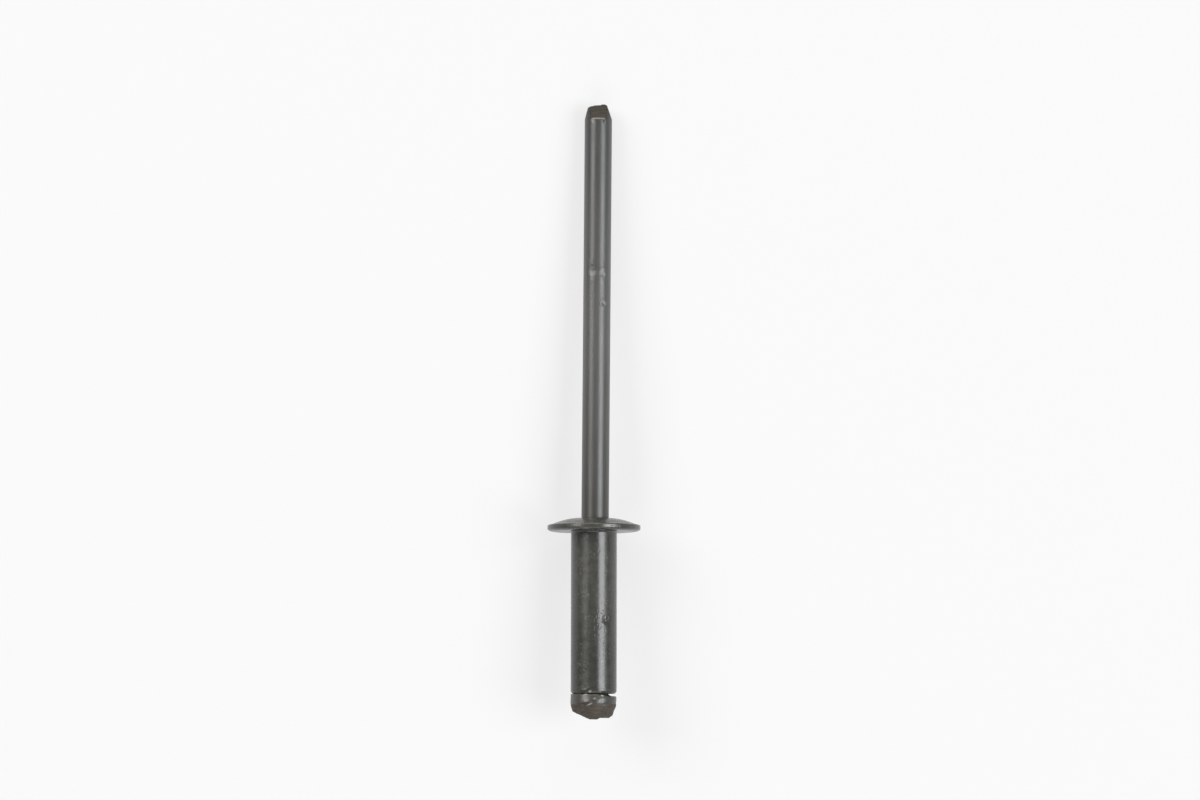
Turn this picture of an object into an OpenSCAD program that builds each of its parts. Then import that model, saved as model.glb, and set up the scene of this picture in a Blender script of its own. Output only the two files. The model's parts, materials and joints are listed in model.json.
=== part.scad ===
// Blind rivet, unset, in black finished steel: a flanged rivet body with its mandrel through the bore.
// Each piece is drawn along its own axis, with z = 0 at the flange's underside and +z towards the tip.
// Both are then laid on their side, where the flange's rim and the mandrel's tip touch the surface.

/* [Rivet body] */
// Outside diameter of the shank, for a 1/8 inch hole
shank_d = 3.12; // [2.8:0.02:3.6]
// Length of the shank below the flange
shank_length = 11; // [5:0.5:20]
// Radius round the shank's open end
shank_end_radius = 0.14; // [0.04:0.02:0.2]
// Fillet between the shank and the flange
flange_fillet = 0.12; // [0.04:0.02:0.2]
// Diameter of the domed flange
flange_d = 6.34; // [5.4:0.02:8]
// Thickness of the flange at its rounded rim
rim_thickness = 0.44; // [0.3:0.02:0.56]
// Height of the dome's crown above the flange's underside, on the axis
dome_height = 0.99; // [0.8:0.01:1.4]
// Width of the chamfer round the bore's mouth
mouth_chamfer = 0.06; // [0.02:0.01:0.1]

/* [Mandrel stem] */
// Diameter of the drawn wire
wire_d = 1.87; // [1.6:0.01:2]
// Clearance between the wire and the bore, all round
wire_clearance = 0.11; // [0.06:0.01:0.16]
// Share of that clearance that the leaning wire takes up at the bore's mouth
lean_share = 0.7; // [0:0.05:0.8]
// Length of the full wire from the flange's underside to the pinched tip
stem_length = 28.2; // [15:0.1:40]
// Diameter left at the bottom of the break groove
neck_d = 1.2; // [0.9:0.05:1.4]
// Width of the break groove
neck_width = 0.7; // [0.4:0.05:1]
// Distance from the head up to the middle of the break groove
neck_distance = 1.4; // [0.8:0.1:3]

/* [Mandrel head] */
// Diameter of the upset head
head_d = 3.1; // [2.7:0.02:3.4]
// Height of the head from its shoulder to the nub's crest
head_height = 1.62; // [1.3:0.02:2.2]
// Height of the head's straight band
head_band = 0.6; // [0.3:0.05:0.8]
// Angle at which the head narrows below the band
head_taper = 16; // [4:1:22]
// Height of the bevel round the head's blunt end
end_bevel_height = 0.35; // [0.15:0.05:0.45]
// Diameter of the blunt end inside the bevel
end_d = 1.8; // [1.2:0.1:2]
// Smallest gap between the head's shoulder and the shank's end
head_gap = 0.03; // [0.02:0.01:0.2]
// Angle by which the head was upset out of square
head_skew = 2.4; // [0:0.2:4]
// Slope of the end's sheared side
shear_slope = 25; // [0:1:30]
// Height of the nub left where the wire was cut
nub_height = 0.15; // [0.05:0.01:0.3]
// Width of the nub's crest
nub_width = 0.44; // [0.2:0.02:0.6]

/* [Pinched tip] */
// Length of the pinched tip, without its burr
tip_length = 0.87; // [0.5:0.01:1.2]
// Depth of the ledge where the two pinch faces start
pinch_depth = 0.13; // [0.05:0.01:0.3]
// Angle at which the pinch faces close in
pinch_angle = 5; // [0:1:15]
// Slope of the tip's left side
left_slope = 14.5; // [5:0.5:20]
// Slope of the tip's right side
right_slope = 22; // [5:0.5:25]
// Height of the burr that the cutters drew out
burr_height = 0.12; // [0.04:0.01:0.2]
// Distance of the burr from the axis
burr_offset = 0.39; // [0.1:0.01:0.4]
// Width of the burr's gentle side
burr_width = 0.26; // [0.1:0.01:0.3]

/* [Hidden] */
$fn = 96;
// Overlap that lets one cut or join run cleanly into the next
over = 1;

shank_r = shank_d / 2;
flange_r = flange_d / 2;
wire_r = wire_d / 2;
neck_r = neck_d / 2;
head_r = head_d / 2;
bore_r = wire_r + wire_clearance;

// The dome's arc runs into the rim's round without a corner
rim_r = rim_thickness / 2;
rim_centre = [flange_r - rim_r, rim_r];
dome_r = (rim_centre.x ^ 2 + dome_height ^ 2 - dome_height * rim_thickness)
    / (2 * (dome_height - rim_thickness));
dome_centre = [0, dome_height - dome_r];
mouth_z = dome_centre.y + sqrt(dome_r ^ 2 - bore_r ^ 2);

// The mandrel leans to the right about the middle of the shank's open end
lean = atan(lean_share * wire_clearance / (shank_length + dome_height));
shoulder_z = -shank_length - head_gap - head_r * tan(head_skew + lean);
crest_z = shoulder_z - head_height;
tip_z = stem_length + tip_length;

// The part lies on the flange's rim and on the wire's edge at the pinched tip
to_rim = rim_centre - [wire_r, stem_length];
rest_tilt = atan(to_rim.x / -to_rim.y) + asin(rim_r / norm(to_rim));
rest_height = rim_centre.x * cos(rest_tilt) + rim_centre.y * sin(rest_tilt) + rim_r;
front_y = (tip_z + burr_height) * cos(rest_tilt) + (wire_r - pinch_depth) * sin(rest_tilt);
back_y = crest_z * cos(rest_tilt) - end_d / 2 * sin(rest_tilt);

// Lays a piece down with its tip towards +y and its left side towards -x
module lying() {
    translate([0, -(front_y + back_y) / 2, rest_height])
        rotate([-90 - rest_tilt, 0, 0])
            children();
}

module leaning() {
    translate([0, 0, -shank_length])
        rotate([0, lean, 0])
            translate([0, 0, shank_length])
                children();
}

// Extrudes an outline drawn in x and z through the whole thickness of the mandrel
module through() {
    rotate([90, 0, 0])
        linear_extrude(height = 2 * head_d, center = true)
            children();
}

// Removes the corner at the origin of a shape in the first quadrant
module corner_round(r) {
    difference() {
        translate([-r, -r]) square(2 * r);
        translate([r, r]) circle(r);
    }
}

module flange_outline() {
    translate(rim_centre) circle(rim_r);
    intersection() {
        translate(dome_centre) circle(dome_r);
        polygon([
            [0, 0],
            [rim_centre.x, 0],
            rim_centre,
            dome_centre + (rim_centre - dome_centre) * 1.2,
            [0, 2 * dome_height]
        ]);
    }
}

module shank_outline() {
    difference() {
        translate([0, -shank_length]) square([shank_r, shank_length + rim_r]);
        translate([shank_r, -shank_length]) mirror([1, 0]) corner_round(shank_end_radius);
    }
    difference() {
        translate([shank_r - flange_fillet, -flange_fillet])
            square([2 * flange_fillet, flange_fillet + rim_r]);
        translate([shank_r + flange_fillet, -flange_fillet]) circle(flange_fillet);
    }
}

module bore_outline() {
    translate([0, -shank_length - over]) square([bore_r, shank_length + dome_height + 2 * over]);
    polygon([
        [0, mouth_z - mouth_chamfer],
        [bore_r, mouth_z - mouth_chamfer],
        [bore_r + 3 * mouth_chamfer, mouth_z + 2 * mouth_chamfer],
        [0, mouth_z + 2 * mouth_chamfer]
    ]);
}

module rivet_body() {
    color("#4b4a46")
        lying()
            rotate_extrude()
                difference() {
                    union() {
                        flange_outline();
                        shank_outline();
                    }
                    bore_outline();
                }
}

// Coined groove at which the wire breaks when the rivet is set
module break_groove() {
    slope = neck_width / 2 / (wire_r - neck_r);
    half = slope * (wire_r - neck_r + over);
    translate([0, 0, shoulder_z + neck_distance])
        rotate_extrude()
            polygon([[neck_r, 0], [wire_r + over, half], [wire_r + over, -half]]);
}

module pinch_cut() {
    translate([-wire_d, -wire_r + pinch_depth, stem_length])
        rotate([-pinch_angle, 0, 0])
            translate([0, -wire_d, 0])
                cube([2 * wire_d, wire_d, 2 * tip_length]);
}

// Wire with its end pinched off: two pinch faces, two sloping sides and a burr
module wire() {
    difference() {
        intersection() {
            translate([0, 0, crest_z + head_height / 2])
                cylinder(r = wire_r, h = tip_z + burr_height - crest_z);
            through()
                polygon([
                    [-wire_d, crest_z],
                    [-wire_d, stem_length],
                    [-wire_r, stem_length],
                    [-wire_r + tip_length * tan(left_slope), tip_z],
                    [burr_offset - burr_width, tip_z],
                    [burr_offset, tip_z + burr_height],
                    [wire_r - tip_length * tan(right_slope), tip_z],
                    [wire_r, stem_length],
                    [wire_d, stem_length],
                    [wire_d, crest_z]
                ]);
        }
        pinch_cut();
        mirror([0, 1, 0]) pinch_cut();
        break_groove();
    }
}

module head_blank() {
    bevel_top = head_height - end_bevel_height;
    translate([0, 0, shoulder_z])
        rotate([0, head_skew, 0])
            rotate_extrude()
                polygon([
                    [0, 0],
                    [head_r, 0],
                    [head_r, -head_band],
                    [head_r - (bevel_top - head_band) * tan(head_taper), -bevel_top],
                    [end_d / 2, -head_height],
                    [0, -head_height]
                ]);
}

// Upset head, sheared to a slope on the left and flat on the right of the nub
module head() {
    half = nub_width / 2;
    flat_z = crest_z + nub_height;
    intersection() {
        head_blank();
        through()
            polygon([
                [-head_d, shoulder_z + over],
                [-head_d, crest_z + (head_d - half) * tan(shear_slope)],
                [-half, crest_z],
                [half, crest_z],
                [2 * half, flat_z],
                [head_d, flat_z],
                [head_d, shoulder_z + over]
            ]);
    }
}

module mandrel() {
    color("#5a5a57")
        lying()
            leaning() {
                wire();
                head();
            }
}

rivet_body();
mandrel();
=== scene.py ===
"""Studio scene of one black blind rivet, unset, lying on its side on a pale floor.

Both pieces are modelled in millimetres along the rivet's own axis: z = 0 is the flange's
underside, +z runs to the mandrel's pinched tip, and -y is the side that lies uppermost.
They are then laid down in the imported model's frame, in metres.
"""
import json
import math
from types import SimpleNamespace

import bmesh
import bpy
import numpy
from bpy.props import FloatProperty, FloatVectorProperty, PointerProperty
from mathutils import Matrix, Vector, noise


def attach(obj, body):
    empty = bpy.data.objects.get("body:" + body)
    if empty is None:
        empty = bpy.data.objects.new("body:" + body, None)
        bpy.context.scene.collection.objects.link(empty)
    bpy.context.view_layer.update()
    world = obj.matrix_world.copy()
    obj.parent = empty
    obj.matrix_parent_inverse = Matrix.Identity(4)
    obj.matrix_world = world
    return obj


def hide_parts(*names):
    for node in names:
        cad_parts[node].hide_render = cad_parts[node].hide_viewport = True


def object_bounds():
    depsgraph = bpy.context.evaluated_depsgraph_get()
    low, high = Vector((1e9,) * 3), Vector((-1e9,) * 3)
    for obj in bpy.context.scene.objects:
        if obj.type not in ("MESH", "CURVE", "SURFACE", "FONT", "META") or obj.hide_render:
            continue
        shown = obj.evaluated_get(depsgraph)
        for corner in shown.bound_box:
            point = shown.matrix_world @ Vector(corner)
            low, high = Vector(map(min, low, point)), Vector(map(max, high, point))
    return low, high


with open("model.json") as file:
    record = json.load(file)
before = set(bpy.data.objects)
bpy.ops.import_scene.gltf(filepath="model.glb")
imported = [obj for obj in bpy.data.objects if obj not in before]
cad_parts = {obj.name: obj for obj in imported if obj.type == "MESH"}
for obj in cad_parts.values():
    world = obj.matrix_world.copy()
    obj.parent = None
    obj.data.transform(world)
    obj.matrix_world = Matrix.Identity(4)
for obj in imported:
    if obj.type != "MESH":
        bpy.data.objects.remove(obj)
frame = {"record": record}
CAD_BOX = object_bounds()

bl_info = {
    "name": "Blind Rivet",
    "version": (1, 0, 0),
    "blender": (4, 5, 0),
    "location": "View3D > Sidebar > Blind Rivet",
    "description": "Builds the finished look of an unset blind rivet",
    "category": "Mesh",
}

MM = 0.001
# Steps of a full turn
AROUND = 256
# Edges sharper than this stay crisp
CREASE = math.radians(38)
# Distances in millimetres: points closer than this count as one, a limit is widened by a hair to take in
# the points on it, and a point this far past a ledge is clear of it
SAME = 0.0001
HAIR = 0.001
CLEAR = 0.005


def mount(name):
    """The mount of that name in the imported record."""
    return next(m for m in frame["record"]["mounts"] if m["name"] == name)


SHANK = mount("shank")
SEAT = mount("flange_seat")
STEM = mount("stem")


def linear(code):
    """Turns a colour written as sRGB hex into linear RGB."""
    channels = [int(code[i:i + 2], 16) / 255 for i in (1, 3, 5)]
    return [c / 12.92 if c <= 0.04045 else ((c + 0.055) / 1.055) ** 2.4 for c in channels]


def length(name, description, mm):
    """A length that the user can change, given in millimetres."""
    return FloatProperty(name=name, description=description, default=mm * MM, unit="LENGTH", precision=5)


def angle(name, description, degrees):
    """An angle that the user can change, given in degrees."""
    return FloatProperty(name=name, description=description, default=math.radians(degrees), unit="ROTATION")


def colour(name, description, code):
    """A colour that the user can change, given as sRGB hex."""
    return FloatVectorProperty(
        name=name, description=description, default=linear(code), subtype="COLOR", size=3, min=0, max=1)


class RivetBodySizes(bpy.types.PropertyGroup):
    """Sizes of the flanged rivet body."""

    shank_r: length("Shank radius", "Outside radius of the shank", SHANK["dims"]["r_mm"])
    shank_length: length("Shank length", "From the flange's underside to the open end", 11)
    end_r: length("End radius", "Radius round the shank's open end", 0.22)
    fillet_r: length("Fillet", "Fillet between the shank and the flange", 0.12)
    flange_r: length("Flange radius", "Outside radius of the domed flange", 3.17)
    rim_thickness: length("Rim thickness", "Thickness of the flange at its rounded rim", 0.44)
    rim_upset: length("Rim upset", "How far forming pushed the rim towards the dome", 0.06)
    rim_width: length("Rim width", "Width of the rim that was pushed up", 0.45)
    rim_flat: length("Rim flat", "How far the rim's round was pressed flat", 0.009)
    dome_height: length("Dome height", "Crown above the flange's underside, on the axis", 0.99)
    dome_bulge: length("Dome bulge", "How far the dome stands above its arc, halfway out", 0.045)
    bore_r: length("Bore radius", "Radius of the bore round the wire", 1.045)
    mouth_chamfer: length("Mouth chamfer", "Width of the chamfer round the bore's mouth", 0.06)


class MandrelSizes(bpy.types.PropertyGroup):
    """Sizes of the mandrel's wire and of its pinched tip."""

    wire_r: length("Wire radius", "Radius of the drawn wire", STEM["dims"]["r_mm"])
    stem_length: length("Stem length", "Full wire from the flange's underside to the pinched tip", 28.2)
    neck_r: length("Neck radius", "Radius left at the bottom of the break groove", 0.6)
    neck_width: length("Neck width", "Width of the break groove", 0.7)
    neck_distance: length("Neck distance", "From the head to the middle of the break groove", 1.4)
    tip_length: length("Tip length", "Length of the pinched tip without its burr", 0.87)
    pinch_depth: length("Pinch depth", "Depth of the ledge below the pinch faces", 0.13)
    pinch_angle: angle("Pinch angle", "Angle at which the pinch faces close in", 5)
    ledge_wear: length("Ledge wear", "Length of the worn round on the ledge", 0.1)
    left_slope: angle("Left slope", "Slope of the tip's left side", 14.5)
    right_slope: angle("Right slope", "Slope of the tip's right side", 22)
    burr_height: length("Burr height", "Height of the burr on the tip", 0.12)
    burr_offset: length("Burr offset", "Distance of the burr from the axis", 0.33)
    burr_width: length("Burr width", "Width of the burr's gentle side", 0.2)
    tip_lift: length("Tip lift", "How far the torn end stands above its mean level", 0.05)
    pinch_hollow: length("Pinch hollow", "Depth of the hollow in the pinch faces", 0.03)
    streak_depth: length("Streak depth", "Depth of the cutters' streaks across the pinch faces", 0.02)
    streak_length: length("Streak length", "Length of those streaks", 0.7)
    streak_width: length("Streak width", "Width of those streaks", 0.08)
    corner_drop: length("Corner drop", "How far the tip's left corner lies below its end", 0.13)
    corner_width: length("Corner width", "Width of that corner", 0.5)


class HeadSizes(bpy.types.PropertyGroup):
    """Sizes of the mandrel's upset head."""

    radius: length("Head radius", "Largest radius of the upset head", 1.55)
    height: length("Head height", "From the shoulder to the nub's crest", 1.62)
    band: length("Band", "Height of the head's band", 0.6)
    corner_r: length("Corner radius", "Radius round the head's corners", 0.06)
    crown: length("Crown", "How far the band's glossy top falls away at its two edges", 0.06)
    crown_depth: length("Crown depth", "From the shoulder to the crown's highest line", 0.39)
    crown_tilt: length("Crown tilt", "How far that line drops from the middle to the left side", 0.16)
    lip_step: length("Lip step", "Step from the glossy band down to the torn steel", 0.03)
    lip_width: length("Lip width", "Width of that step", 0.05)
    lip_wander: length("Lip wander", "How far the torn steel's edge wanders up and down", 0.04)
    lip_grain: length("Lip grain", "Distance between the turns of that edge", 0.12)
    root: length("Root fillet", "Fillet between the wire and the shoulder", 0.25)
    shoulder_swell: length("Shoulder swell", "How far the shoulder's left side was pushed up", 0.08)
    swell_edge: length("Swell edge", "Where the swelling ends, to the right of the axis", 0.95)
    swell_depth: length("Swell depth", "How far below the shoulder the swelling starts", 0.12)
    shoulder_lump: length("Shoulder lumps", "Height of the lumps on the shoulder", 0.06)
    lump_width: length("Lump width", "Width of those lumps, and of the swelling's edge", 0.3)
    contact_gap: length("Contact gap", "Gap left where the shoulder bears on the shank", 0.008)
    taper: angle("Taper", "Angle at which the head narrows below the band", 16)
    bevel: length("End bevel", "Height of the bevel round the blunt end", 0.35)
    end_r: length("End radius", "Radius of the blunt end inside the bevel", 0.9)
    gap: length("Gap", "Smallest gap between the shoulder and the shank's end", 0.03)
    skew: angle("Skew", "Angle by which the head was upset out of square", 2.4)
    shear_slope: angle("Shear slope", "Slope of the end's sheared side", 23.5)
    nub_height: length("Nub height", "Height of the nub left where the wire was cut", 0.12)
    nub_width: length("Nub width", "Width of the nub's crest", 0.44)


class Finishes(bpy.types.PropertyGroup):
    """Colours of the finishes and of the floor."""

    coating: colour("Body coating", "Satin black coating on the formed body", "#3D3D39")
    oxide: colour("Wire oxide", "Black oxide on the drawn wire", "#525250")
    # Painted shade: the wire's oxide is drawn darker beside the flange, where the flange shades it
    painted_flange_shade: colour("Oxide in painted shade", "Darker oxide on the wire beside the flange", "#403F3C")
    upset: colour("Head oxide", "Oxide on the upset head", "#3F3E39")
    sheared: colour("Sheared steel", "Dull brown oxide on sheared faces", "#423B33")
    # Bare steel: rubbed spots that are partly wear and partly painted glints
    steel: colour("Bare steel", "Steel where the oxide is worn through", "#B9B4AA")
    floor: colour("Floor", "Pale matt floor", "#F0F0F0")


class StudioSizes(bpy.types.PropertyGroup):
    """Places of the camera and the lamps, and the size of the floor."""

    camera_height: length("Camera height", "Height of the camera above the floor", 300)
    camera_x: length("Camera x", "Place of the camera to the right of the origin", 0.395)
    camera_y: length("Camera y", "Place of the camera towards the tip", 0.75)
    camera_roll: angle("Camera roll", "Turn of the camera about its own axis", 0.1)
    camera_lens: FloatProperty(
        name="Camera lens", description="Focal length in millimetres", default=131, unit="CAMERA")
    lamp_distance: length("Lamp distance", "Distance of every lamp from the rivet", 1500)
    floor_reach: length("Floor reach", "From the middle of the floor to its edges", 3000)


def in_mm(sizes):
    """The values of a property group by name, with its lengths in millimetres."""
    values = {}
    for name in sizes.__annotations__:
        value = getattr(sizes, name)
        values[name] = value / MM if sizes.bl_rna.properties[name].unit == "LENGTH" else value
    return SimpleNamespace(**values)


def body_place():
    """From the rivet body's own frame, in millimetres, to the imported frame, in metres."""
    tilt = math.asin(SHANK["axis"][2])
    seat = (0, SEAT["pos_m"][1], SEAT["pos_m"][2])
    return Matrix.Translation(seat) @ Matrix.Rotation(-math.pi / 2 - tilt, 4, "X") @ Matrix.Scale(MM, 4)


def mandrel_place(shank_length):
    """The same for the mandrel, which leans to the right about the middle of the shank's end."""
    lean = Matrix.Rotation(math.asin(STEM["axis"][0]), 4, "Y")
    pivot = Matrix.Translation((0, 0, -shank_length))
    return body_place() @ pivot @ lean @ pivot.inverted()


class Outline:
    """Half a section, drawn stretch by stretch in the XZ plane of a bmesh."""

    def __init__(self, bm, x, z):
        self.bm = bm
        self.first = self.tip = bm.verts.new((x, 0, z))

    def sweep(self, centre, shift, turn, steps):
        """Carries the last point along, turning it about a centre and shifting it at each step."""
        swept = bmesh.ops.spin(
            self.bm, geom=[self.tip], cent=centre, axis=(0, 1, 0), dvec=shift,
            angle=turn, steps=steps, use_merge=False, use_duplicate=False)
        self.tip = swept["geom_last"][0]

    def line(self, x, z, pitch=math.inf):
        """Draws a straight stretch with a point about every pitch."""
        way = Vector((x, 0, z)) - self.tip.co
        steps = 1 + int(way.length / pitch)
        self.sweep(self.tip.co, way / steps, 0, steps)

    def arc(self, x, z, degrees, steps):
        """Draws an arc about a centre, where a positive angle turns from +z to +x."""
        self.sweep((x, 0, z), (0, 0, 0), math.radians(degrees), steps)

    def close(self):
        """Joins the last point to the first."""
        self.bm.edges.new((self.tip, self.first))

    def revolve(self):
        """Spins the outline about the z axis into a body with no seam."""
        bmesh.ops.spin(
            self.bm, geom=self.bm.verts[:] + self.bm.edges[:], cent=(0, 0, 0), axis=(0, 0, 1),
            dvec=(0, 0, 0), angle=math.tau, steps=AROUND, use_merge=True, use_duplicate=False)
        bmesh.ops.remove_doubles(self.bm, verts=self.bm.verts, dist=HAIR / 2)
        bmesh.ops.recalc_face_normals(self.bm, faces=self.bm.faces)


def round_corners(bm, corners, radius):
    """Rounds corners of an outline that hasn't been revolved yet."""
    bmesh.ops.bevel(
        bm, geom=corners, affect="VERTICES", offset=radius, offset_type="OFFSET",
        segments=5, profile=0.5, material=-1)


def add_rings(bm, low, high, pitch):
    """Splits the edges that run lengthwise between two heights, so that rings lie about a pitch apart."""
    by_cuts = {}
    for edge in bm.edges:
        start, end = (vert.co for vert in edge.verts)
        inside = low - HAIR < min(start.z, end.z) and max(start.z, end.z) < high + HAIR
        lengthwise = abs(start.x * end.y - start.y * end.x) < SAME
        if inside and lengthwise and edge.calc_length() > 1.5 * pitch:
            by_cuts.setdefault(int(edge.calc_length() / pitch), []).append(edge)
    for cuts, edges in by_cuts.items():
        bmesh.ops.subdivide_edges(bm, edges=edges, cuts=cuts)


def oval_reach(vert, along, around, long, wide, tilt=0.0):
    """How far a vertex of a round surface lies from the middle of an oval, where 1 is the oval's edge.

    along is the distance along the axis, around the angle from the top and tilt the oval's turn, in degrees.
    """
    lean = math.radians(tilt)
    rise = vert.co.z - along
    side = vert.co.xy.length * (math.atan2(vert.co.x, -vert.co.y) - math.radians(around))
    return math.hypot(
        (rise * math.cos(lean) - side * math.sin(lean)) / long,
        (rise * math.sin(lean) + side * math.cos(lean)) / wide)


def press_mark(verts, depth, lip, *oval):
    """Presses an oval dent with a raised lip, or raises a lump where the depth is negative."""
    for vert in verts:
        reach = oval_reach(vert, *oval)
        if reach < 1:
            inwards = depth * (1 - reach * reach) ** 2
        elif reach < 2:
            inwards = -lip * (4 * (reach - 1) * (2 - reach)) ** 2
        else:
            continue
        vert.co.xy *= 1 - inwards / vert.co.xy.length


def mark_bare_wear_and_glint(verts, wear_and_glint, share, *oval):
    """Rubs the finish off an oval spot, down to a share of bare steel: partly wear, partly a painted glint
    where a highlight falls.
    """
    for vert in verts:
        reach = oval_reach(vert, *oval)
        if reach < 1:
            vert[wear_and_glint] = max(vert[wear_and_glint], share * (1 - reach * reach))


def roughen(verts, grain, height):
    """Moves vertices along their normals by a noise of that grain and height."""
    for vert in verts:
        vert.co += vert.normal * height * noise.noise(vert.co / grain)


def slice_plane(bm, geometry, point, normal):
    """Cuts the given geometry where a plane crosses it, removes nothing, and returns all of it."""
    return bmesh.ops.bisect_plane(
        bm, geom=geometry, dist=SAME, plane_co=point, plane_no=normal,
        clear_outer=False, clear_inner=False)["geom"]


def part_between(bm, low, high):
    """The faces that lie wholly between two heights, with their edges and corners."""
    faces = [f for f in bm.faces if all(low < vert.co.z < high for vert in f.verts)]
    edges = dict.fromkeys(edge for face in faces for edge in face.edges)
    corners = dict.fromkeys(vert for face in faces for vert in face.verts)
    return [*faces, *edges, *corners]


def finish_piece(name, bm, place, materials, node):
    """Makes the finished bmesh an object that stands for a CAD node."""
    for face in bm.faces:
        face.smooth = True
    for edge in bm.edges:
        edge.smooth = len(edge.link_faces) == 2 and edge.calc_face_angle(0) < CREASE
    bm.transform(place)
    mesh = bpy.data.meshes.new(name)
    bm.to_mesh(mesh)
    bm.free()
    for material in materials:
        mesh.materials.append(material)
    piece = bpy.data.objects.new(name, mesh)
    bpy.context.scene.collection.objects.link(piece)
    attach(piece, "root")
    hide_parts(node)


def draw_body(bm, s):
    """Draws the rivet body's section and revolves it."""
    rim_r = s.rim_thickness / 2
    rim_x = s.flange_r - rim_r
    dome_r = (rim_x ** 2 + s.dome_height ** 2 - s.dome_height * s.rim_thickness) / (
        2 * (s.dome_height - s.rim_thickness))
    dome_z = s.dome_height - dome_r
    mouth = math.degrees(math.asin((s.bore_r + s.mouth_chamfer) / dome_r))
    rim = math.degrees(math.atan2(rim_x, rim_r - dome_z))
    mouth_z = dome_z + dome_r * math.cos(math.radians(mouth))
    outline = Outline(bm, s.bore_r, -s.shank_length + s.mouth_chamfer / 2)
    outline.line(s.bore_r, mouth_z - s.mouth_chamfer)
    outline.line(s.bore_r + s.mouth_chamfer, mouth_z, 0.03)
    outline.arc(0, dome_z, rim - mouth, 30)
    outline.arc(rim_x, rim_r, 180 - rim, 24)
    outline.line(s.shank_r + s.fillet_r, 0, 0.1)
    outline.arc(s.shank_r + s.fillet_r, -s.fillet_r, -90, 8)
    outline.line(s.shank_r, s.end_r - s.shank_length)
    outline.arc(s.shank_r - s.end_r, s.end_r - s.shank_length, 90, 10)
    outline.line(s.bore_r + s.mouth_chamfer / 2, -s.shank_length, 0.05)
    outline.close()
    outline.revolve()


# Share of the rim's round that was squared off
FLAT_SHARE = 0.9


def form_flange(bm, s):
    """Bulges the dome, flattens the rim's round and pushes it towards the dome."""
    rim_r = s.rim_thickness / 2
    mouth = s.bore_r + s.mouth_chamfer
    for vert in bm.verts:
        radius = vert.co.xy.length
        outwards = (radius - mouth) / (s.flange_r - rim_r - mouth)
        if vert.co.z > rim_r and 0 < outwards < 1:
            vert.co.z += 4 * s.dome_bulge * outwards * (1 - outwards)
        outer = 1 - (s.flange_r - radius) / s.rim_width
        if outer <= 0:
            continue
        level = abs(vert.co.z - rim_r) / rim_r
        if level < FLAT_SHARE and radius > s.flange_r - rim_r:
            flat = s.flange_r - rim_r + rim_r * (1 - level ** 3) ** (1 / 3)
            vert.co.xy *= 1 + (1 - (level / FLAT_SHARE) ** 4) * (flat - radius) / radius
            vert.co.xy *= min(1, (s.flange_r - s.rim_flat) / vert.co.xy.length)
        vert.co.z += s.rim_upset * outer * outer * (3 - 2 * outer)


# Dents and lumps: depth, height of the lip, distance along the axis, degrees from the top,
# half length, half width and tilt, in millimetres and degrees
BODY_MARKS = (
    (0.05, 0.003, -5.98, 33, 0.44, 0.55),
    (-0.02, 0, -5.88, 33, 0.13, 0.12),
    (0.01, 0.003, -6.42, 20, 0.14, 0.12),
    (-0.008, 0, -8.81, 19.7, 0.12, 0.1),
    (0.015, 0.006, -10.76, -9, 0.12, 0.14),
)
STEM_MARKS = (
    (0.031, 0.006, 17.78, -15.4, 0.48, 0.46),
    (0.021, 0.006, 17.5, 26.3, 0.28, 0.24),
    (0.01, 0.002, 18.07, -22, 0.14, 0.12),
    (0.01, 0.002, 17.33, -39, 0.12, 0.1),
    (0.022, 0.006, 15.51, 28.9, 0.17, 0.16),
)
HEAD_MARKS = (
    (-0.026, 0, -11.55, -14, 0.2, 0.6),
    (-0.05, 0, -11.37, 8, 0.12, 0.24),
    (0.035, 0, -11.53, -2.7, 0.11, 0.28, -20),
    (-0.03, 0, -11.71, -11, 0.08, 0.26, 27),
    (-0.035, 0, -11.13, 24, 0.06, 0.13),
)
# Spots of bare steel, partly rubbed wear and partly painted glints where highlights fall: share of bare
# steel, then an oval as above
BODY_WEAR_AND_GLINTS = (
    (0.8, -10.86, -9, 0.09, 0.15),
    (0.35, -10.88, 17, 0.07, 0.1),
    (0.22, 0.3, 17, 0.12, 0.3),
    (0.2, 0.32, -21, 0.12, 0.35),
    (0.2, 0.42, 0, 0.06, 0.7),
    (0.35, 0.08, -10, 0.06, 0.3),
    (0.3, -6.08, 32, 0.07, 0.06),
    (0.25, -2.86, 5.5, 0.08, 0.07),
    (0.2, -5.9, -21, 0.1, 0.06),
    (0.2, -6.8, -22, 0.12, 0.05),
    (0.3, -8.81, 19.7, 0.08, 0.08),
)
STEM_WEAR_AND_GLINTS = (
    (0.06, 17.6, -14, 0.25, 0.3),
    (0.15, 17.4, 29, 0.2, 0.14),
    (0.4, 15.48, 40, 0.09, 0.06),
    (0.3, 15.62, 29, 0.06, 0.06),
)
HEAD_WEAR_AND_GLINTS = (
    (0.9, -11.72, -10, 0.055, 0.24, 22),
    (0.35, -11.33, 2, 0.07, 0.15),
    (0.9, -11.13, 23, 0.07, 0.16),
    (0.6, -11.09, -22, 0.05, 0.2),
    (0.35, -11.77, -30, 0.04, 0.12),
)
# The torn steel's upper edge: degrees from the top and depth below the shoulder
HEAD_LIP = (
    (-180, 0.6), (-60, 0.6), (-16, 0.7), (-6, 0.5), (7, 0.53), (25, 0.65), (62, 0.55), (180, 0.6),
)
# Distance between rings where marks lie, in millimetres
FINE = 0.03
# Stretch of the stem that carries its marks, in millimetres
STEM_MARKED = (15, 18.5)
# Bands of rings: lower end, upper end and distance between rings
BODY_RINGS = (
    (-10.5, -9, 0.15), (-9, -8.6, FINE), (-8.6, -6.7, 0.15), (-6.7, -5.6, FINE), (-5.6, 0, 0.15),
)
STEM_RINGS = (
    (17.1, 18.4, FINE), (15.8, 17.1, 0.25), (15.2, 15.8, FINE), (0, 15.2, 0.25),
)


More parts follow.
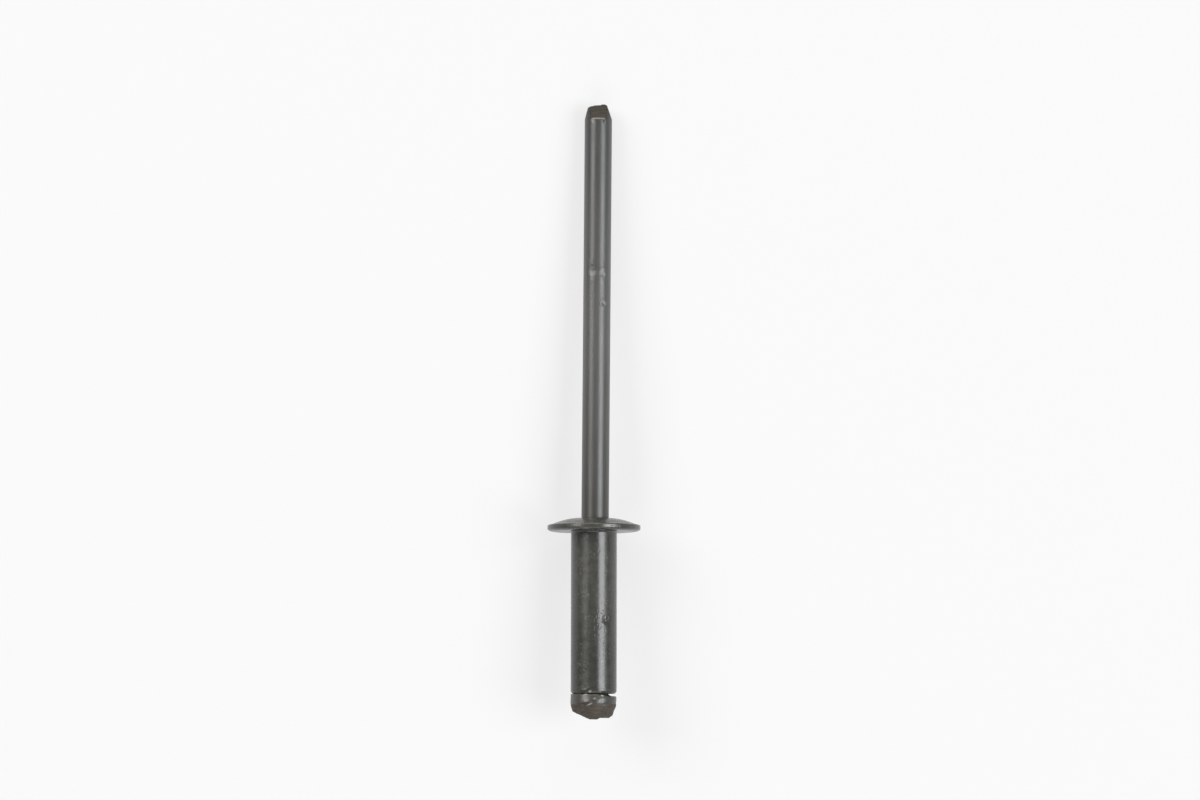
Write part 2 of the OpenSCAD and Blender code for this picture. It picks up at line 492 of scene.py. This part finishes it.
class RIVET_OT_make_body(bpy.types.Operator):
    """Make the formed rivet body: a tubular shank under a low domed flange"""

    bl_idname = "rivet.make_body"
    bl_label = "Rivet body"

    def execute(self, context):
        s = in_mm(context.scene.rivet_body)
        bm = bmesh.new()
        wear_and_glint = bm.verts.layers.float.new("wear_and_glint")
        draw_body(bm, s)
        mouth = s.bore_r + s.mouth_chamfer
        for low, _, _ in reversed(BODY_RINGS):
            slice_plane(bm, bm.verts[:] + bm.edges[:] + bm.faces[:], (0, 0, low), (0, 0, 1))
        for low, high, pitch in (*BODY_RINGS, (-s.shank_length, BODY_RINGS[0][0], FINE)):
            add_rings(bm, low, high, pitch)
        form_flange(bm, s)
        wall = [v for v in bm.verts if v.co.z < -s.fillet_r and v.co.xy.length > s.shank_r - s.end_r]
        for mark in BODY_MARKS:
            press_mark(wall, *mark)
        outside = [v for v in bm.verts if v.co.xy.length > s.shank_r - s.end_r]
        for bare_spot in BODY_WEAR_AND_GLINTS:
            mark_bare_wear_and_glint(outside, wear_and_glint, *bare_spot)
        skin = [v for v in bm.verts if v.co.xy.length > mouth + 0.1 and v.co.z > 0.01 - s.shank_length]
        roughen(skin, grain=0.9, height=0.001)
        end = [v for v in skin if v.co.z < 1.5 * s.end_r - s.shank_length]
        roughen(end, grain=0.25, height=0.012)
        finish_piece(
            "flanged_body", bm, body_place(), [coated_steel(context.scene.rivet_finishes)],
            "rivet_body")
        return {"FINISHED"}


def shoulder_height(head, shank_length):
    """Height of the head's shoulder on the axis, under the shank's end."""
    return -shank_length - head.gap - head.radius * math.tan(head.skew + math.asin(STEM["axis"][0]))


def draw_mandrel(bm, s, head, shoulder):
    """Draws the mandrel's section from the open tip down to the head's end, and revolves it."""
    tip = s.stem_length + s.tip_length
    groove = shoulder + s.neck_distance
    half = s.neck_width / 2
    taper_end = head.height - head.bevel
    taper_r = head.radius - (taper_end - head.band) * math.tan(head.taper)
    corners = []
    outline = Outline(bm, s.wire_r, tip)
    outline.line(s.wire_r, s.stem_length + 0.01)
    outline.line(s.wire_r, s.stem_length - s.ledge_wear)
    marks_end = STEM_RINGS[0][1]
    for z in (marks_end, *(low for low, _, _ in STEM_RINGS), groove + half):
        outline.line(s.wire_r, z)
    outline.line(s.neck_r, groove)
    corners.append(outline.tip)
    outline.line(s.wire_r, groove - half)
    outline.line(s.wire_r, shoulder + head.root)
    outline.arc(s.wire_r + head.root, shoulder + head.root, -90, 8)
    for x, z in ((head.radius, shoulder), (head.radius, shoulder - head.band),
                 (taper_r, shoulder - taper_end), (head.end_r, shoulder - head.height)):
        outline.line(x, z)
        corners.append(outline.tip)
    outline.line(0.03, shoulder - head.height)
    outline.line(0, shoulder - head.height)
    round_corners(bm, corners, head.corner_r)
    outline.revolve()
    for low, high, pitch in (
            (s.stem_length, tip, 0.02), (s.stem_length - s.ledge_wear, s.stem_length, 0.015),
            (marks_end, s.stem_length, 0.25), *STEM_RINGS, (shoulder - head.height, shoulder, FINE)):
        add_rings(bm, low, high, pitch)


def pinch_tip(bm, s):
    """Presses the wire's end in from four sides, as the cutters pinch it off."""
    start = s.stem_length
    tip = part_between(bm, start + CLEAR, math.inf)
    for side, slope in ((-1, s.left_slope), (1, s.right_slope)):
        tip = slice_plane(
            bm, tip, (side * s.wire_r, 0, start), (side * math.cos(slope), 0, math.sin(slope)))
        tip = slice_plane(
            bm, tip, (0, side * (s.wire_r - s.pinch_depth), start),
            (0, side * math.cos(s.pinch_angle), math.sin(s.pinch_angle)))
    for vert in bm.verts:
        rise = vert.co.z - start
        if rise < CLEAR:
            continue
        left = s.wire_r - rise * math.tan(s.left_slope)
        right = s.wire_r - rise * math.tan(s.right_slope)
        near = s.wire_r - s.pinch_depth - rise * math.tan(s.pinch_angle)
        pressed = abs(vert.co.y) > near
        vert.co.x = min(max(vert.co.x, -left), right)
        vert.co.y = min(max(vert.co.y, -near), near)
        if pressed:
            streak = noise.noise((vert.co.x / s.streak_length, 0, vert.co.z / s.streak_width))
            hollow = s.pinch_hollow * math.sin(math.pi * rise / s.tip_length)
            pressed_in = hollow * (1 - (vert.co.x / s.wire_r) ** 2) + s.streak_depth * streak
            vert.co.y *= 1 - pressed_in / near


def tip_height(x, s):
    """Height of the pinched end above its mean level: a low left corner, and a burr on the right."""
    left = s.wire_r - s.tip_length * math.tan(s.left_slope)
    right = s.wire_r - s.tip_length * math.tan(s.right_slope)
    rise = (x - s.burr_offset + s.burr_width) / s.burr_width
    fall = (right - x) / (right - s.burr_offset)
    drop = 1 - (x + left) / s.corner_width
    return s.burr_height * max(min(rise, fall), 0) - s.corner_drop * min(max(drop, 0), 1)


# Distance between the cuts that give the pinched end's face its vertices, in millimetres
CAP_PITCH = 0.04
# Share of the pinched tip's length that the torn end leaves as it is
STEADY = 0.3
# The torn end's lumps: width, thickness and height in millimetres
TORN_WIDTH, TORN_THICKNESS, TORN_HEIGHT = 0.22, 0.15, 0.03


def close_tip(bm, s):
    """Closes the pinched end and tears its top edge out of true."""
    tip = s.stem_length + s.tip_length
    bmesh.ops.holes_fill(bm, edges=[e for e in bm.edges if e.is_boundary], sides=0)
    cap = part_between(bm, tip - HAIR, math.inf)
    for x in (s.burr_offset - s.burr_width, s.burr_offset, *(CAP_PITCH * step for step in range(-19, 16))):
        cap = slice_plane(bm, cap, (x, 0, tip), (1, 0, 0))
    for step in range(-19, 20):
        cap = slice_plane(bm, cap, (0, CAP_PITCH * step, tip), (0, 1, 0))
    for vert in bm.verts:
        share = (vert.co.z - s.stem_length) / s.tip_length
        if share > STEADY:
            grown = (share - STEADY) / (1 - STEADY)
            torn = TORN_HEIGHT * noise.noise((vert.co.x / TORN_WIDTH, vert.co.y / TORN_THICKNESS, 0))
            vert.co.z += grown * (tip_height(vert.co.x, s) + torn + s.tip_lift)
            vert.co.z = min(vert.co.z, tip + s.burr_height - 3 * HAIR)


# How far torn steel reaches past the edges of a pinch face and of the end, in millimetres, and its share
# on the sloping sides
FACE_REACH, END_REACH, SIDE_SHARE = 0.06, 0.05, 0.2


def mark_sheared_tip(bm, s, sheared):
    """Marks the pinch faces and the end as torn steel, and the sloping sides as mostly oxide."""
    for vert in bm.verts:
        rise = vert.co.z - s.stem_length
        if rise > CLEAR:
            near = s.wire_r - s.pinch_depth - rise * math.tan(s.pinch_angle)
            on_face = abs(vert.co.y) > near - FACE_REACH
            at_end = rise > s.tip_length - END_REACH
            vert[sheared] = 1 if on_face or at_end else SIDE_SHARE


# Share of bare steel on the rubbed ledge, partly wear and partly a painted highlight along its edge,
# and the width of its patches in millimetres
LEDGE_SHINE = 0.6
LEDGE_PATCH = 0.16


def wear_ledge_and_glint(bm, s, wear_and_glint):
    """Rounds the ledge below the pinch faces and bares its steel there, partly wear and partly a painted
    highlight.
    """
    chord = math.sqrt(s.wire_r ** 2 - (s.wire_r - s.pinch_depth) ** 2)
    for vert in bm.verts:
        rise = vert.co.z - s.stem_length
        inner = 1 - (vert.co.x / chord) ** 2
        if inner < 0 or not -s.ledge_wear < rise < s.ledge_wear / 2:
            continue
        if abs(vert.co.y) < s.wire_r - s.pinch_depth - 0.02:
            continue
        near = min(1 + rise / s.ledge_wear, 1)
        patchy = 0.9 + 0.5 * noise.noise((vert.co.x / LEDGE_PATCH, 0, 3))
        vert[wear_and_glint] = min(max(LEDGE_SHINE * near * min(3 * inner, 1) * patchy, 0), 1)
        if rise < CLEAR:
            vert.co.xy *= 1 - 0.2 * s.ledge_wear * near ** 2 * min(2 * inner, 1) / s.wire_r


def end_height(x, s):
    """Height of the sheared end above the nub's crest, from left to right."""
    half = s.nub_width / 2
    if x < -half:
        return (-half - x) * math.tan(s.shear_slope)
    return s.nub_height * min(max(x / half - 1, 0), 1)


def shear_head(bm, s, shoulder):
    """Skews the head, then shears its end: a slope on the left, a nub, a flat on the right."""
    head = [vert for vert in bm.verts if vert.co.z < shoulder + HAIR]
    bmesh.ops.rotate(bm, verts=head, cent=(0, 0, shoulder), matrix=Matrix.Rotation(s.skew, 3, "Y"))
    crest = shoulder - s.height
    half = s.nub_width / 2
    low = shoulder - s.band
    end = part_between(bm, -math.inf, low)
    for x in (-half, half, 2 * half):
        end = slice_plane(bm, end, (x, 0, crest), (1, 0, 0))
    end = slice_plane(
        bm, end, (-half, 0, crest), (math.sin(s.shear_slope), 0, math.cos(s.shear_slope)))
    end = slice_plane(bm, end, (half, 0, crest + s.nub_height), (0, 0, 1))
    for vert in bm.verts:
        if vert.co.z < low:
            vert.co.z = max(vert.co.z, crest + end_height(vert.co.x, s))


# Height above the shoulder up to which the head's forms reach, in millimetres
ABOVE = 0.1


def seat_shoulder(bm, s, shoulder, shank_length):
    """Swells the head's shoulder until it bears on the shank's end on its left side."""
    lean = math.asin(STEM["axis"][0])
    for vert in bm.verts:
        radius = vert.co.xy.length
        depth = shoulder - vert.co.z
        if radius > STEM["dims"]["r_mm"] + s.root and -ABOVE < depth < s.swell_depth:
            contact = vert.co.x * math.tan(lean) - shank_length - s.contact_gap
            lump = s.shoulder_lump * noise.noise((vert.co.x / s.lump_width, vert.co.y / s.lump_width, 1))
            lift = s.shoulder_swell * min(max((s.swell_edge - vert.co.x) / s.lump_width, 0), 1) + lump
            fade = 1 - max(depth, 0) / s.swell_depth
            vert.co.z = min(vert.co.z + fade * lift, max(contact, vert.co.z))


def batter_head(bm, s, shoulder, sheared, wear_and_glint):
    """Crowns the head's glossy band on top, and cuts back the torn steel below it."""
    head = [vert for vert in bm.verts if vert.co.z < shoulder + ABOVE and vert.co.xy.length > s.end_r / 2]
    turns, depths = zip(*HEAD_LIP)
    for vert in bm.verts:
        depth = shoulder - vert.co.z
        if depth < -ABOVE:
            continue
        radius = vert.co.xy.length
        turn = math.degrees(math.atan2(vert.co.x, -vert.co.y))
        lip = numpy.interp(turn, turns, depths) + s.lip_wander * noise.noise(vert.co / s.lip_grain)
        torn = min(max((depth - lip) / s.lip_width, 0), 1)
        vert[sheared] = torn
        if radius > s.end_r:
            on_top = max(math.cos(math.radians(turn)), 0)
            crest = s.crown_depth - s.crown_tilt * math.sin(math.radians(turn))
            crown = s.crown * min((depth - crest) / crest, 1) ** 2
            vert.co.xy *= 1 - on_top * (crown * (1 - torn) + s.lip_step * torn) / radius
    wall = [vert for vert in head if vert.co.xy.length > s.end_r]
    for mark in HEAD_MARKS:
        press_mark(wall, *mark)
    for bare_spot in HEAD_WEAR_AND_GLINTS:
        mark_bare_wear_and_glint(wall, wear_and_glint, *bare_spot)
    bm.normal_update()
    rough = [vert for vert in bm.verts if vert[sheared] > 0.5 and vert.co.z < shoulder]
    roughen(rough, grain=0.4, height=0.03)
    roughen(rough, grain=0.12, height=0.015)
    roughen([vert for vert in head if vert[sheared] <= 0.5], grain=0.35, height=0.01)
    for vert in rough:
        vert.co.z = max(vert.co.z, shoulder - s.height)


class RIVET_OT_make_mandrel(bpy.types.Operator):
    """Make the mandrel: a drawn wire with a pinched tip and an upset, sheared head"""

    bl_idname = "rivet.make_mandrel"
    bl_label = "Mandrel"

    def execute(self, context):
        s = in_mm(context.scene.rivet_mandrel)
        head = in_mm(context.scene.rivet_head)
        shank_length = in_mm(context.scene.rivet_body).shank_length
        shoulder = shoulder_height(head, shank_length)
        bm = bmesh.new()
        sheared = bm.verts.layers.float.new("sheared")
        wear_and_glint = bm.verts.layers.float.new("wear_and_glint")
        draw_mandrel(bm, s, head, shoulder)
        pinch_tip(bm, s)
        close_tip(bm, s)
        mark_sheared_tip(bm, s, sheared)
        wear_ledge_and_glint(bm, s, wear_and_glint)
        shear_head(bm, head, shoulder)
        batter_head(bm, head, shoulder, sheared, wear_and_glint)
        seat_shoulder(bm, head, shoulder, shank_length)
        stem = [vert for vert in bm.verts if STEM_MARKED[0] < vert.co.z < STEM_MARKED[1]]
        for mark in STEM_MARKS:
            press_mark(stem, *mark)
        for bare_spot in STEM_WEAR_AND_GLINTS:
            mark_bare_wear_and_glint(stem, wear_and_glint, *bare_spot)
        bm.normal_update()
        roughen([vert for vert in bm.verts if 0 < vert.co.z < s.stem_length], grain=1.1, height=0.0012)
        finish_piece(
            "headed_mandrel", bm, mandrel_place(shank_length),
            [oxidised_wire(context.scene.rivet_finishes)], "mandrel")
        return {"FINISHED"}


def add_node(tree, kind, inputs=None, output=0, **settings):
    """Adds a node, sets its properties, gives its inputs values or links, and returns one of its outputs.

    The node that mixes colours takes them at inputs 6 and 7, and gives the mixed one at output 2.
    """
    node = tree.nodes.new("ShaderNode" + kind)
    for name, value in settings.items():
        setattr(node, name, value)
    for name, value in (inputs or {}).items():
        socket = node.inputs[name]
        if isinstance(value, bpy.types.NodeSocket):
            tree.links.new(value, socket)
        elif socket.type == "RGBA":
            socket.default_value = (*value, 1)
        else:
            socket.default_value = value
    return node.outputs[output] if node.outputs else None


def new_material(name):
    """An empty node material and its tree."""
    material = bpy.data.materials.new(name)
    material.use_nodes = True
    material.node_tree.nodes.clear()
    return material, material.node_tree


def own_place(tree):
    """Coordinates in millimetres along the rivet's own axis."""
    return add_node(tree, "Mapping", {
        "Vector": add_node(tree, "TexCoord", output="Object"), "Location": body_place().to_translation(),
        "Rotation": body_place().to_euler(), "Scale": (MM, MM, MM)}, vector_type="TEXTURE")


def darker(colour, share):
    """The same colour with only a share of its light, or with more where the share is above 1."""
    return [channel * share for channel in colour]


BLACK = (0, 0, 0)
# Part of its range in which most of a noise lies
MOST = {"From Min": 0.3, "From Max": 0.7}
# Grain sizes of the coating in millimetres. Its real grain and pits are some 0.05 mm wide, too fine to show,
# and are drawn three to four times as wide. The pits lie in patches.
COATING_CLOUD = 0.5
COATING_GRAIN = 0.2
COATING_PIT = 0.16
COATING_PATCH = 1.3
# Depth of a pit, in heights of the grain
PIT_DEPTH = 2.4
# The coating's colour is darker from one height down to the other, by this share of its light
DARKEN_FROM, DARKEN_TO, DARKEN_SHARE = -4.5, -8, 0.26
# Grain sizes of the wire's oxide in millimetres. The drawn lines are really some 0.02 mm wide, and are drawn
# four times as wide, so that they show.
LINE_WIDTH = 0.08
LINE_LENGTH = 4.8
OXIDE_CLOUD = 0.7
OXIDE_CLOUD_LENGTH = 2.1
# Grain sizes of the torn steel: the tears' width across, depth and height, and the grit's size
TEAR = (0.55, 0.165, 0.11)
GRIT = 0.3
# Heights of the finishes' relief, in millimetres
COATING_RELIEF = 0.0035
LINE_RELIEF = 0.0012
TEAR_RELIEF = 0.015
BARE_RELIEF = 0.002


def show_wear_and_glints(tree, finishes, skin, clouds, grain):
    """Ends a finish with bare steel where the mesh is marked for it: small pale spots, partly wear and partly
    painted glints.
    """
    bare = add_node(tree, "BsdfPrincipled", {
        "Base Color": finishes.steel,
        "Metallic": 1,
        "Roughness": add_node(tree, "MapRange", {"Value": clouds, **MOST, "To Min": 0.5, "To Max": 0.65}),
        "Normal": add_node(tree, "Bump", {"Height": grain, "Strength": 1, "Distance": BARE_RELIEF * MM})})
    wear_and_glint = add_node(tree, "Attribute", output="Fac", attribute_name="wear_and_glint")
    surface = add_node(tree, "MixShader", {0: wear_and_glint, 1: skin, 2: bare})
    add_node(tree, "OutputMaterial", {"Surface": surface})


def coated_steel(finishes):
    """Satin black coating on cold-formed steel.

    It gives the eye a long soft highlight on a lightly clouded black, broken up by a fine grain and by
    patches of small pits, and a black that is darker towards the open end.
    """
    material, tree = new_material("satin_black_coating_on_formed_steel")
    place = own_place(tree)
    clouds = add_node(tree, "TexNoise", {"Vector": place, "Scale": 1 / COATING_CLOUD, "Detail": 5})
    grain = add_node(tree, "TexNoise", {"Vector": place, "Scale": 1 / COATING_GRAIN, "Detail": 3})
    pits = add_node(tree, "TexNoise", {"Vector": place, "Scale": 1 / COATING_PIT, "Detail": 1})
    pits = add_node(tree, "MapRange", {"Value": pits, "From Min": 0.58, "From Max": 0.68})
    patches = add_node(tree, "TexNoise", {"Vector": place, "Scale": 1 / COATING_PATCH, "Detail": 1})
    patches = add_node(tree, "MapRange", {
        "Value": patches, "From Min": 0.48, "From Max": 0.58, "To Min": 0, "To Max": -PIT_DEPTH})
    grain = add_node(tree, "Math", {0: pits, 1: patches, 2: grain}, operation="MULTIPLY_ADD")
    black = add_node(tree, "Mix", {
        0: add_node(tree, "MapRange", {"Value": clouds, **MOST}),
        6: darker(finishes.coating, 0.85), 7: darker(finishes.coating, 1.12)}, 2, data_type="RGBA")
    darkening = add_node(tree, "MapRange", {
        "Value": add_node(tree, "SeparateXYZ", {"Vector": place}, "Z"),
        "From Min": DARKEN_TO, "From Max": DARKEN_FROM, "To Min": DARKEN_SHARE, "To Max": 0})
    skin = add_node(tree, "BsdfPrincipled", {
        "Base Color": add_node(tree, "Mix", {0: darkening, 6: black, 7: BLACK}, 2, data_type="RGBA"),
        "Roughness": add_node(tree, "MapRange", {"Value": clouds, **MOST, "To Min": 0.21, "To Max": 0.31}),
        "IOR": 1.56,
        "Normal": add_node(tree, "Bump", {"Height": grain, "Strength": 1, "Distance": COATING_RELIEF * MM})})
    show_wear_and_glints(tree, finishes, skin, clouds, grain)
    return material


def oxidised_wire(finishes):
    """Black oxide on drawn wire, and the brown torn steel of its sheared ends.

    The oxide gives the eye a low gloss with faint lengthwise lines; painted shade darkens it beside the
    flange and towards the tip. The torn steel gives it a matt, ragged brown.
    """
    material, tree = new_material("black_oxide_on_drawn_wire")
    place = own_place(tree)
    lengthwise = add_node(tree, "Mapping", {"Vector": place, "Scale": (1, 1, LINE_WIDTH / LINE_LENGTH)})
    lines = add_node(tree, "TexNoise", {"Vector": lengthwise, "Scale": 1 / LINE_WIDTH, "Detail": 3})
    lengthwise = add_node(tree, "Mapping", {
        "Vector": place, "Scale": (1, 1, OXIDE_CLOUD / OXIDE_CLOUD_LENGTH)})
    clouds = add_node(tree, "TexNoise", {"Vector": lengthwise, "Scale": 1 / OXIDE_CLOUD, "Detail": 4})
    crosswise = add_node(tree, "Mapping", {"Vector": place, "Scale": [1 / size for size in TEAR]})
    tears = add_node(tree, "TexNoise", {"Vector": crosswise, "Scale": 1, "Detail": 3})
    grit = add_node(tree, "TexNoise", {"Vector": place, "Scale": 1 / GRIT, "Detail": 5})
    along = add_node(tree, "SeparateXYZ", {"Vector": place}, "Z")
    # The black runs from the head's oxide into painted shade beside the flange, on to the plain oxide, then
    # into painted shade again towards the tip
    black = finishes.upset
    for start, end, next_black in (
            (-10, 0, finishes.painted_flange_shade), (2, 13, finishes.oxide), (15, 28, darker(finishes.oxide, 0.6))):
        black = add_node(tree, "Mix", {
            0: add_node(tree, "MapRange", {"Value": along, "From Min": start, "From Max": end}),
            6: black, 7: next_black}, 2, data_type="RGBA")
    streaks = add_node(tree, "MapRange", {"Value": lines, **MOST, "To Max": 0.25})
    oxide = add_node(tree, "BsdfPrincipled", {
        "Base Color": add_node(tree, "Mix", {0: streaks, 6: black, 7: BLACK}, 2, data_type="RGBA"),
        "Roughness": add_node(tree, "MapRange", {"Value": clouds, **MOST, "To Min": 0.32, "To Max": 0.38}),
        "IOR": 1.6,
        "Normal": add_node(tree, "Bump", {"Height": lines, "Strength": 1, "Distance": LINE_RELIEF * MM})})
    brown = darker(finishes.sheared, 0.7)
    for value, low, high, most, next_brown in (
            (tears, 0.35, 0.65, 1, darker(finishes.sheared, 1.35)), (along, 27, 28.5, 0.35, BLACK),
            (grit, *MOST.values(), 0.4, brown)):
        share = add_node(tree, "MapRange", {
            "Value": value, "From Min": low, "From Max": high, "To Max": most})
        brown = add_node(tree, "Mix", {0: share, 6: brown, 7: next_brown}, 2, data_type="RGBA")
    torn = add_node(tree, "BsdfPrincipled", {
        "Base Color": brown,
        "Roughness": add_node(tree, "MapRange", {"Value": grit, **MOST, "To Min": 0.6, "To Max": 0.8}),
        "IOR": 1.45,
        "Normal": add_node(tree, "Bump", {"Height": tears, "Strength": 1, "Distance": TEAR_RELIEF * MM})})
    sheared = add_node(tree, "Attribute", output="Fac", attribute_name="sheared")
    skin = add_node(tree, "MixShader", {0: sheared, 1: oxide, 2: torn})
    show_wear_and_glints(tree, finishes, skin, clouds, lines)
    return material


# Share of a flat glow in the paper where it is seen or mirrored
GLOW_SHARE = 0.76
# Strength of the mirrored glow close to the rivet and far from it, and the distances in millimetres
GLOW_CLOSE, GLOW_FAR = (4, 1.02), (14, 0.7)


def floor_paper(finishes):
    """Matt white paper, which gives the eye a plain pale ground.

    A flat glow lightens its shadows where it is seen or mirrored, and fades with distance where it is
    mirrored, so that the rivet's flanks darken above the floor.
    """
    material, tree = new_material("matt_white_paper")
    seen, mirrored, distance = (
        add_node(tree, "LightPath", output=name) for name in ("Is Camera Ray", "Is Glossy Ray", "Ray Length"))
    change = add_node(tree, "MapRange", {
        "Value": distance, "From Min": GLOW_CLOSE[0] * MM, "From Max": GLOW_FAR[0] * MM,
        "To Min": GLOW_CLOSE[1] - 1, "To Max": GLOW_FAR[1] - 1})
    strength = add_node(tree, "Math", {0: mirrored, 1: change, 2: 1}, operation="MULTIPLY_ADD")
    glow = add_node(tree, "Emission", {"Color": finishes.floor, "Strength": strength})
    paper = add_node(tree, "BsdfDiffuse", {"Color": finishes.floor})
    either = add_node(tree, "Math", {0: seen, 1: mirrored}, operation="MAXIMUM")
    share = add_node(tree, "Math", {0: either, 1: GLOW_SHARE}, operation="MULTIPLY")
    surface = add_node(tree, "MixShader", {0: share, 1: paper, 2: glow})
    add_node(tree, "OutputMaterial", {"Surface": surface})
    return material


# Tints of the lamps
WARM = (1, 0.98, 0.955)
COOL = (0.95, 0.977, 1)
WHITE = (1, 1, 1)
# The lamps: degrees from straight up to the right and towards the tip, width and height in metres,
# radiance and tint
LAMPS = {
    "back_left_light": (-46, 27.3, 0.77, 0.96, 6.9, WARM),
    "front_right_light": (40.5, -1.8, 0.77, 0.84, 8.4, COOL),
    "right_glow": (60.5, -1.8, 0.44, 0.84, 1.1, COOL),
    "low_front_light": (0, -56, 1.4, 1.15, 1.8, WHITE),
    "low_back_light": (0, 52, 1.4, 0.95, 1.6, WHITE),
}
# Shades of the room: at the floor, from a low height up, that height, and as the camera sees it
ROOM_LOW, ROOM_HIGH, ROOM_RISE, BACKDROP = 0.25, 0.13, 0.3, (0.86, 0.86, 0.86)


def hang_lamp(name, distance, across, along, width, height, radiance, tint):
    """Hangs a rectangular lamp that faces the rivet and is not seen itself."""
    lamp = bpy.data.lights.new(name, "AREA")
    lamp.shape = "RECTANGLE"
    lamp.size = width
    lamp.size_y = height
    lamp.color = tint
    lamp.energy = radiance * math.pi * width * height
    light = bpy.data.objects.new(name, lamp)
    turn = Matrix.Rotation(math.radians(across), 4, "Y") @ Matrix.Rotation(math.radians(-along), 4, "X")
    light.matrix_world = turn @ Matrix.Translation((0, 0, distance))
    light.visible_camera = False
    bpy.context.scene.collection.objects.link(light)


def make_world():
    """A dark room, lighter near the floor, that is seen as a pale backdrop."""
    world = bpy.data.worlds.new("studio_room")
    world.use_nodes = True
    tree = world.node_tree
    tree.nodes.clear()
    height = add_node(tree, "SeparateXYZ", {"Vector": add_node(tree, "TexCoord", output="Generated")}, "Z")
    walls = add_node(tree, "MapRange", {
        "Value": height, "From Max": ROOM_RISE, "To Min": ROOM_LOW, "To Max": ROOM_HIGH})
    seen = add_node(tree, "LightPath", output="Is Camera Ray")
    shade = add_node(tree, "Mix", {0: seen, 6: walls, 7: BACKDROP}, 2, data_type="RGBA")
    sky = add_node(tree, "Background", {"Color": shade, "Strength": 1})
    add_node(tree, "OutputWorld", {"Surface": sky})
    bpy.context.scene.world = world


def make_floor(reach, paper):
    """Lays the paper flat under the rivet, as part of the stage."""
    bm = bmesh.new()
    bmesh.ops.create_grid(bm, x_segments=1, y_segments=1, size=reach)
    bmesh.ops.translate(bm, verts=bm.verts, vec=(0, 0, CAD_BOX[0][2]))
    mesh = bpy.data.meshes.new("floor")
    bm.to_mesh(mesh)
    bm.free()
    mesh.materials.append(paper)
    floor = bpy.data.objects.new("floor", mesh)
    bpy.context.scene.collection.objects.link(floor)


class RIVET_OT_make_studio(bpy.types.Operator):
    """Make the pale floor, the room, the soft lamps and the camera straight above"""

    bl_idname = "rivet.make_studio"
    bl_label = "Studio"

    def execute(self, context):
        scene = context.scene
        s = scene.rivet_studio
        scene.view_settings.view_transform = "Standard"
        make_world()
        for name, place_and_light in LAMPS.items():
            hang_lamp(name, s.lamp_distance, *place_and_light)
        make_floor(s.floor_reach, floor_paper(scene.rivet_finishes))
        camera = bpy.data.cameras.new("camera")
        camera.lens = s.camera_lens
        camera.clip_start = 0.01
        view = bpy.data.objects.new("camera", camera)
        view.location = (s.camera_x, s.camera_y, s.camera_height)
        view.rotation_euler = (0, 0, s.camera_roll)
        scene.collection.objects.link(view)
        scene.camera = view
        return {"FINISHED"}


class RIVET_PT_panel(bpy.types.Panel):
    """Lists the rivet's pieces and the studio, then their sizes and colours"""

    bl_idname = "RIVET_PT_panel"
    bl_label = "Blind Rivet"
    bl_space_type = "VIEW_3D"
    bl_region_type = "UI"
    bl_category = "Blind Rivet"

    def draw(self, context):
        for operator in OPERATORS:
            self.layout.operator(operator.bl_idname)
        for name, group in GROUPS.items():
            box = self.layout.box()
            for key in group.__annotations__:
                box.prop(getattr(context.scene, name), key)


GROUPS = {
    "rivet_body": RivetBodySizes,
    "rivet_mandrel": MandrelSizes,
    "rivet_head": HeadSizes,
    "rivet_finishes": Finishes,
    "rivet_studio": StudioSizes,
}
OPERATORS = (RIVET_OT_make_studio, RIVET_OT_make_body, RIVET_OT_make_mandrel)


def register():
    """Registers the classes and adds the property groups to the scene."""
    for name, group in GROUPS.items():
        bpy.utils.register_class(group)
        setattr(bpy.types.Scene, name, PointerProperty(type=group))
    for operator in OPERATORS:
        bpy.utils.register_class(operator)
    bpy.utils.register_class(RIVET_PT_panel)


def unregister():
    """Removes what register added."""
    bpy.utils.unregister_class(RIVET_PT_panel)
    for operator in reversed(OPERATORS):
        bpy.utils.unregister_class(operator)
    for name, group in reversed(GROUPS.items()):
        delattr(bpy.types.Scene, name)
        bpy.utils.unregister_class(group)


def main():
    """Builds the studio and both pieces."""
    register()
    bpy.ops.rivet.make_studio()
    bpy.ops.rivet.make_body()
    bpy.ops.rivet.make_mandrel()


if __name__ == "__main__":
    main()
